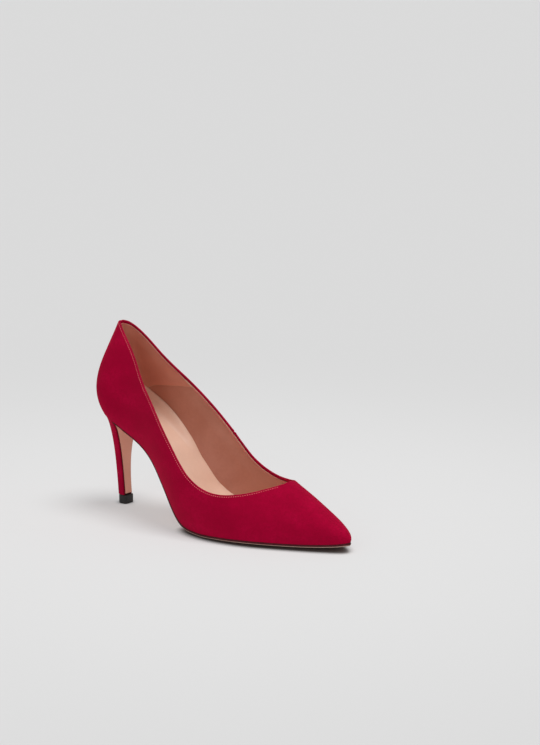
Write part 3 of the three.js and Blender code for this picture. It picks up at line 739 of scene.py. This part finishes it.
def make_vamp_lining():
    rows = np.linspace(0, 1, 44)
    throat = LINING_EDGE.throat
    before, f = np.meshgrid(cosine(0, 1, 90), rows, indexing="ij")
    back = LINING_SEAM[0] + LINING_SEAM[1] * f - LAP_STATIONS
    side = np.concatenate([back + (throat - back) * before,
                           np.repeat(toe_side(throat, 36)[1:, None], len(rows), 1)])
    columns = np.concatenate([side, LOOP - side[-2::-1]])
    sheet = Sheet(lining_grid(columns, np.broadcast_to(rows, columns.shape)))
    near = lining_depth(sheet.points)
    lining = sheet_object("vamp_lining_leather", sheet, near, near + LINING,
                          (LINING_PAINT, LINING_PAINT, CUT_EDGE))
    add_piece(lining, "lining", "vamp_lining")


def make_stiffener(name, node, t, rows, thickness):
    """A stiffener or tape in the space between upper and lining."""
    columns, f = np.meshgrid(t, rows, indexing="ij")
    sheet = Sheet(lining_grid(columns, f))
    near = SUEDE + STIFFENER_GAP
    far = np.minimum(near + thickness, lining_depth(sheet.points) - STIFFENER_GAP / 2)
    add_piece(sheet_object(name, sheet, near, far, (STIFFENER_PAINT,) * 3, rows=2), "stiffener", node)


def make_stiffeners():
    """The collar's tape, the counter round the heel and the puff over the toe: each has its stations, its
    rows as shares of the lining's height, and its thickness."""
    collar = np.linspace(-LINING_EDGE.throat + 0.3, LINING_EDGE.throat - 0.3, 161)
    make_stiffener("collar_tape", "topline_tape", collar, np.linspace(0.9, 0.985, 5), 0.3)
    back = np.linspace(-2.8, 2.8, 61)
    make_stiffener("back_counter", "heel_counter", back, np.linspace(0, 0.72, 20), 0.8)
    front = toe_side(9.2, 20)
    toe = np.concatenate([front, LOOP - front[-2::-1]])
    make_stiffener("toe_stiffener", "toe_puff", toe, np.linspace(0, 1, 20), 0.8)


# ---- Sock and foam -------------------------------------------------------------------------------
SOCK_END = 10.3            # station where the sock ends inside the toe
SOCK_CLEARANCE = 0.6       # between the sock's edge and the lining
SOCK_WAVE = 0.12
CUP_REACH = 9.0            # how far in from the edge the cup ends
FOAM_WIDTH = 0.93          # the foam's width as a share of the sock's


def over_profile(x, height):
    """The level this far over the feather edge, measured square to its slope."""
    slope = along(PROFILE, x + 0.5) - along(PROFILE, x - 0.5)
    return along(PROFILE, x) + height * np.sqrt(1 + slope**2)


def sock_edge(depth):
    """The sock's edge on the lining, from the back seam to its end: its points outside and inside."""
    t = np.concatenate([cosine(0, 2, 40)[:-1] * 0.5, np.linspace(1, SOCK_END, 130)])
    edges = []
    for stations in (t, LOOP - t):
        columns, up = np.meshgrid(stations, np.linspace(0, 0.6, 181), indexing="ij")
        inner = last(columns, up) - depth * last_normal(columns, up)
        x = inner[..., 0]
        over = inner[..., 2] - over_profile(x, SOCK_HEIGHT) - along(SOCK_LIFT, x)
        k = np.maximum((over > 0).argmax(1), 1)
        row = np.arange(len(stations))
        f = (-over[row, k - 1] / (over[row, k] - over[row, k - 1]))[:, None]
        edges.append(inner[row, k - 1] * (1 - f) + inner[row, k] * f)
    edges[1][0] = edges[0][0]
    return edges


def cupped_grid(outer, inner, across, rim):
    """A footbed between two edge curves: flat in the middle and cupped up towards a rim."""
    share = (1 + np.sin(np.linspace(-1, 1, across) * math.pi / 2)) / 2
    grid = outer[:, None] * (1 - share)[None, :, None] + inner[:, None] * share[None, :, None]
    flat = grid.reshape(-1, 3) * (1, 1, 0)
    distance, number = nearest(flat, rim * (1, 1, 0))
    lift = rim[number, 2] - over_profile(rim[number, 0], SOCK_HEIGHT)
    wall = (1 - smooth(0, 1, distance / CUP_REACH)) ** 1.6
    grid[..., 2] = (over_profile(flat[:, 0], SOCK_HEIGHT) + lift * wall).reshape(grid.shape[:2])
    return grid


def make_sock(outer, inner, rim):
    grid = cupped_grid(outer, inner, 61, rim)
    grid[..., 2] += SOCK_WAVE * np.sin(grid[..., 0] / 9) * np.sin(grid[..., 1] / 7 + 1)
    add_piece(sheet_object("leather_sock", Sheet(grid), 0.0, SOCK, (SOCK_PAINT,) * 3, roll=0.3),
              "sock", "sock_lining")


def make_foam(outer, inner, rim):
    """The soft layer between board and sock: it thickens towards the cupped edges at the heel."""
    centre = (outer + inner) / 2
    narrow = [(centre + (edge - centre) * FOAM_WIDTH)[4:-2] for edge in (outer, inner)]
    sheet = Sheet(cupped_grid(*narrow, 41, rim))
    under_sock = (SOCK + 0.08) / np.maximum(sheet.normals[:, 2], 0.35)
    to_board = sheet.points[:, 2] - over_profile(sheet.points[:, 0], BOARD_HEIGHT)
    sheet.normals = np.broadcast_to((0.0, 0.0, 1.0), sheet.normals.shape)
    foam = sheet_object("foam_pad", sheet, under_sock, np.maximum(to_board, under_sock + 0.3),
                        (FOAM_PAINT,) * 3, roll=0.3)
    add_piece(foam, "foam", "foam_underlay")


def make_footbed():
    outer, inner = sock_edge(SUEDE + GLUE_GAP + STIFFENER_SPACE + LINING + SOCK_CLEARANCE)
    rim = np.concatenate([outer, inner[::-1]])
    make_sock(outer, inner, rim)
    make_foam(outer, inner, rim)


# ---- Heel ----------------------------------------------------------------------------------------
BREAST_STATION = 2.36      # station of the seat's front corners
SEAT_DROP = 0.12           # gap between the upper and the heel's seat
# Three ovals that shape the heel's outside from the tip up: front, back, half width and height.
HEEL_OVALS = [(1.6, -6.6, 4.6, TIP_HEIGHT + 0.1), (-0.5, -8.5, 4.4, 32), (-1.5, -10.5, 6.5, 63)]


def heel_rib(share, v):
    """The heel's outer surface: share 0 is the inside breast corner, 0.5 the back, 1 the outside corner.
    Beyond the corners it turns in over the breast."""
    share, v = np.broadcast_arrays(np.asarray(share, float), np.asarray(v, float))
    angle = math.pi * (0.5 - share)
    depth = np.maximum(np.cos(angle), 0) ** 0.8
    seat = last(2 * BREAST_STATION * (np.clip(share, 0, 1) - 0.5), 0.0)
    seat[..., 2] -= SEAT_DROP
    ovals = [np.stack([front + (back - front) * depth, np.sin(angle) * half_width, z + 0 * depth], -1)
             for front, back, half_width, z in HEEL_OVALS]
    return bezier(*ovals, seat, v)


def make_heel_cover():
    even = np.linspace(0, 1, 97)
    side = even - np.sin(2 * math.pi * even) / (2 * math.pi) * 0.55
    lip = np.linspace(0, COVER_LIP, 8)[1:]
    shares = np.concatenate([-lip[::-1], side, 1 + lip])
    sheet = Sheet(heel_rib(*np.meshgrid(shares, np.linspace(0, 1, 70), indexing="ij")))
    sheet.normals = unit(sheet.normals * (1, 1, 0))
    cover = sheet_object("suede_heel_cover", sheet, 0.0, COVER, (SUEDE_PAINT, SUEDE_PAINT, SUEDE_EDGE_HIGHLIGHT),
                         roll=0.1)
    add_piece(cover, "suede", "heel_cover")


def make_top_piece():
    """The heel tip: a flat front with rounded corners and a round back, its edges eased."""
    front, back, half_width, corner = TIP_FRONT - 0.2, -5.6, 4.6, 1.3
    centre_x = (front + back) / 2 - 0.4
    turn = np.linspace(math.pi / 2, 3 * math.pi / 2, 40)
    arc = np.stack([centre_x + (centre_x - back) * np.cos(turn), half_width * np.sin(turn)], -1)
    quarter = np.linspace(-math.pi / 2, 0, 8)
    low = np.stack([front - corner + corner * np.cos(quarter),
                    -half_width + corner + corner * np.sin(quarter)], -1)
    outline = np.concatenate([arc, low, (low * (1, -1))[::-1]])
    course = unit(np.roll(outline, -1, 0) - np.roll(outline, 1, 0))
    away = np.stack([course[:, 1], -course[:, 0]], -1)
    # Height and inset of each ring.
    foot = [(0.0, 0.55), (0.05, 0.32), (0.2, 0.14), (0.45, 0.02), (0.8, 0.0)]
    head = [(TIP_HEIGHT - down, inset) for down, inset in
            [(1.1, 0.0), (0.45, 0.05), (0.2, 0.14), (0.05, 0.35), (0.0, 0.6)]]
    rings = [np.column_stack([outline - inset * away, np.full(len(outline), z)]) for z, inset in foot + head]
    tip = make_object("heel_tip", np.concatenate(rings), ring_faces(len(rings), len(outline)), [RUBBER_PAINT])
    add_piece(tip, "top_piece", "top_piece")


# ---- Outsole -------------------------------------------------------------------------------------
SOLE_INSET = 0.35          # the sole's edge in from the feather edge
SOLE_ROLL = 0.3            # how far its rounded edge stands out again
SOLE_EDGE = [(8, FLAP), (20, SOLE_WAIST), (60, SOLE_WAIST), (100, SOLE_FORE)]     # its thickness at each x
CAMBER_START = 20
BEVEL_START = 88           # from here forward the lower part of the sole's edge is pale, partly natural leather and partly painted highlight
TREAD_START = 60           # from here forward the sole stops at the ground


def sole_rim():
    """The outsole's two long edges, from the foot of the breast up to the seat and forward to the toe, and
    the number of the first point on each that lies past the breast."""
    climb = np.linspace(0.012, 0.9, 60)
    fore = np.concatenate([np.linspace(BREAST_STATION + 0.5, 10, 150)[:-1], toe_side(10, 20)])
    f = np.linspace(0, 1, 16)[1:-1, None]
    rims = []
    for share, side, inset in ((0.0, -1, FLAP_INSET[0]), (1.0, 1, FLAP_INSET[1])):
        flap = heel_rib(share, climb)
        flap[:, 1] += side * inset * (1 - smooth(0.75, 1.0, climb))
        ahead = inward(side * fore, SOLE_INSET)
        corner = last(side * (BREAST_STATION + 0.12), 0.0) + (0.6, 0, -0.4)
        bend = (1 - f) ** 2 * flap[-1] + 2 * f * (1 - f) * corner + f * f * ahead[0]
        rims.append(np.concatenate([flap, bend, ahead]))
    return *rims, len(climb) + len(f)


def half_width_at(x):
    """The sole's half width on the outside of the foot."""
    t = np.linspace(0, TOE, 221)
    edge = last(t, 0.0)
    return np.interp(x, edge[:, 0], np.abs(edge[:, 1] - along(CENTRELINE, edge[:, 0])))


def sole_slot(part, x):
    """Material of one of the outsole's faces: 0 sole, 1 dark edge, 2 bevel, natural leather with a painted
    highlight.
    """
    if part in (NEAR, FAR):
        return 0
    return 2 if part == FIRST_EDGE_STRIP and x > BEVEL_START else 1


def make_outsole():
    inner, outer, past_breast = sole_rim()
    share = (1 - np.cos(np.linspace(0, math.pi, 41))) / 2
    grid = inner[:, None] * (1 - share)[None, :, None] + outer[:, None] * share[None, :, None]
    ahead = grid[past_breast:]
    ahead[..., 2] = along(PROFILE, ahead[..., 0])
    sheet = Sheet(grid)
    x, y, z = sheet.points.T
    thick = np.interp(x, *zip(*SOLE_EDGE))
    edge = np.clip(np.abs(y - along(CENTRELINE, x)) / half_width_at(x), 0, 1)
    thick = thick + np.where(x > CAMBER_START, along(CAMBER, x) * (1 - edge**2), 0)
    to_ground = z / np.maximum(-sheet.normals[:, 2], 0.2)
    thick = np.where(x > TREAD_START, np.minimum(thick, to_ground), thick)
    points, faces, parts = solid(sheet, -thick, -GLUE_GAP, SOLE_ROLL, rows=6)
    slots = [sole_slot(part, points[face, 0].mean()) for part, face in zip(parts, faces)]
    sole = make_object("outsole_leather", points, faces, [SOLE_PAINT, EDGE_PAINT, BEVEL_HIGHLIGHT_PAINT], slots)
    add_piece(sole, "sole", "outsole")


# ---- Pieces kept from the frame ------------------------------------------------------------------
def paint_kept_nodes():
    kept = {"heel_block": ABS_PAINT, "insole_board": BOARD_PAINT, "bottom_filler": FOAM_PAINT}
    steel = ["steel_shank", "shank_rivet_1", "shank_rivet_2", "heel_screw", "heel_dowel", "top_piece_pin",
             "heel_nail_1", "heel_nail_2", "heel_nail_3", "heel_nail_4"]
    for name, paint in {**kept, **{node: STEEL_PAINT for node in steel}}.items():
        obj = bpy.data.objects[name]
        obj.data.materials.clear()
        obj.data.materials.append(paint)


# ---- Stage, lights and camera --------------------------------------------------------------------
FLOOR_HALF = 40.0                    # metres
FLOOR_FADE = 0.7                     # from the shoe out to this distance the floor darkens a little, a painted pool of light round the shoe
FLOOR_TONES = (0.43, 0.385)          # of the floor by the shoe and away from it; the paler one is the painted pool of light
FLOOR_GLOW = (0.365, 0.33)           # its own light there, which keeps shadows pale
CONTACT_SHADOW_TONE = 0.16                  # painted contact shadow: the floor's tone where the shoe all but touches it
CONTACT_REACH = 0.009                # metres
ROOM_LIGHT, ROOM_SEEN = 0.34, 0.7    # strength of the room's light, and how pale the room looks itself


def grey(tone):
    return (tone, tone, tone)


def floor_paint():
    """Pale paper with a painted pool of light that fades outwards, and a painted contact shadow where
    something nearly touches it.
    """
    paint = Paint("pale_floor", roughness=0.9, Specular_IOR_Level=0.1)
    paint.shader.inputs["Emission Color"].default_value = (1.0, 1.0, 1.0, 1.0)
    reach = paint.node("ShaderNodeVectorMath", operation="LENGTH")
    paint.link(paint.coordinates, reach.inputs[0])
    fall = paint.remap(reach.outputs["Value"], 0.0, FLOOR_FADE)
    near_contact = paint.node("ShaderNodeAmbientOcclusion", samples=16)
    near_contact.inputs["Distance"].default_value = CONTACT_REACH
    outside_contact_shadow = paint.remap(near_contact.outputs["AO"], 0.25, 0.9)
    # Painted pool of light: the floor is paler by the shoe than away from it.
    plain = paint.blend(fall, *map(grey, FLOOR_TONES))
    # Painted contact shadow: the floor's colour and its glow are darkened where something nearly touches it.
    paint.colour(paint.blend(outside_contact_shadow, grey(CONTACT_SHADOW_TONE), plain))
    glow = paint.combine("MULTIPLY", outside_contact_shadow, paint.remap(fall, 0, 1, *FLOOR_GLOW))
    paint.link(glow, paint.shader.inputs["Emission Strength"])
    return paint.material


def make_floor():
    mesh = bpy.data.meshes.new("floor")
    corners = [(-1, -1), (1, -1), (1, 1), (-1, 1)]
    mesh.from_pydata([(x * FLOOR_HALF, y * FLOOR_HALF, 0) for x, y in corners], [], [(0, 1, 2, 3)])
    mesh.materials.append(floor_paint())
    floor = bpy.data.objects.new("floor", mesh)
    bpy.context.scene.collection.objects.link(floor)


def add_sun(name, azimuth, elevation, strength, spread):
    """Light from far off: azimuth is measured from +x towards +y, all in degrees."""
    light = bpy.data.lights.new(name, "SUN")
    light.energy = strength
    light.angle = math.radians(spread)
    obj = bpy.data.objects.new(name, light)
    a, e = math.radians(azimuth), math.radians(elevation)
    towards = Vector((math.cos(a) * math.cos(e), math.sin(a) * math.cos(e), math.sin(e)))
    obj.rotation_euler = towards.to_track_quat("Z", "Y").to_euler()
    bpy.context.scene.collection.objects.link(obj)


def make_lights():
    add_sun("key", azimuth=30, elevation=76, strength=1.8, spread=30)
    add_sun("fill", azimuth=-62, elevation=20, strength=0.64, spread=60)
    world = bpy.data.worlds.new("studio")
    world.use_nodes = True
    nodes, links = world.node_tree.nodes, world.node_tree.links
    background = nodes["Background"]
    background.inputs["Color"].default_value = (1.0, 1.0, 1.0, 1)
    # Past the far edge of the floor the room itself is seen, as pale as the floor is.
    ray = nodes.new("ShaderNodeLightPath")
    strength = nodes.new("ShaderNodeMapRange")
    strength.inputs["To Min"].default_value = ROOM_LIGHT
    strength.inputs["To Max"].default_value = ROOM_SEEN
    links.new(ray.outputs["Is Camera Ray"], strength.inputs["Value"])
    links.new(strength.outputs["Result"], background.inputs["Strength"])
    bpy.context.scene.world = world


CAMERA_AZIMUTH, CAMERA_ELEVATION = math.radians(40.0), math.radians(11.84)
CAMERA_DISTANCE = 1.6895
CAMERA_TARGET = np.array([-14.4, 190.2, 70.0])     # the middle of the frame, in the last's millimetres
CAMERA_LENS, CAMERA_SENSOR = 96.96, 36


def make_camera():
    a, e = CAMERA_AZIMUTH, CAMERA_ELEVATION
    back = Vector((math.sin(a) * math.cos(e), -math.cos(a) * math.cos(e), math.sin(e)))
    right = Vector((math.cos(a), math.sin(a), 0))
    up = back.cross(right)
    data = bpy.data.cameras.new("camera")
    data.lens = CAMERA_LENS
    data.sensor_width = CAMERA_SENSOR
    camera = bpy.data.objects.new("camera", data)
    turn = Matrix((right, up, back)).transposed().to_4x4()
    place = Vector(CAMERA_TARGET / 1000 + ORIGIN) + CAMERA_DISTANCE * back
    camera.matrix_world = Matrix.Translation(place) @ turn
    bpy.context.scene.collection.objects.link(camera)
    bpy.context.scene.camera = camera


make_camera()
make_upper()
make_stitching()
make_quarter_lining()
make_vamp_lining()
make_stiffeners()
make_footbed()
make_heel_cover()
make_top_piece()
make_outsole()
paint_kept_nodes()
make_floor()
make_lights()
bpy.context.scene.view_settings.view_transform = "Standard"
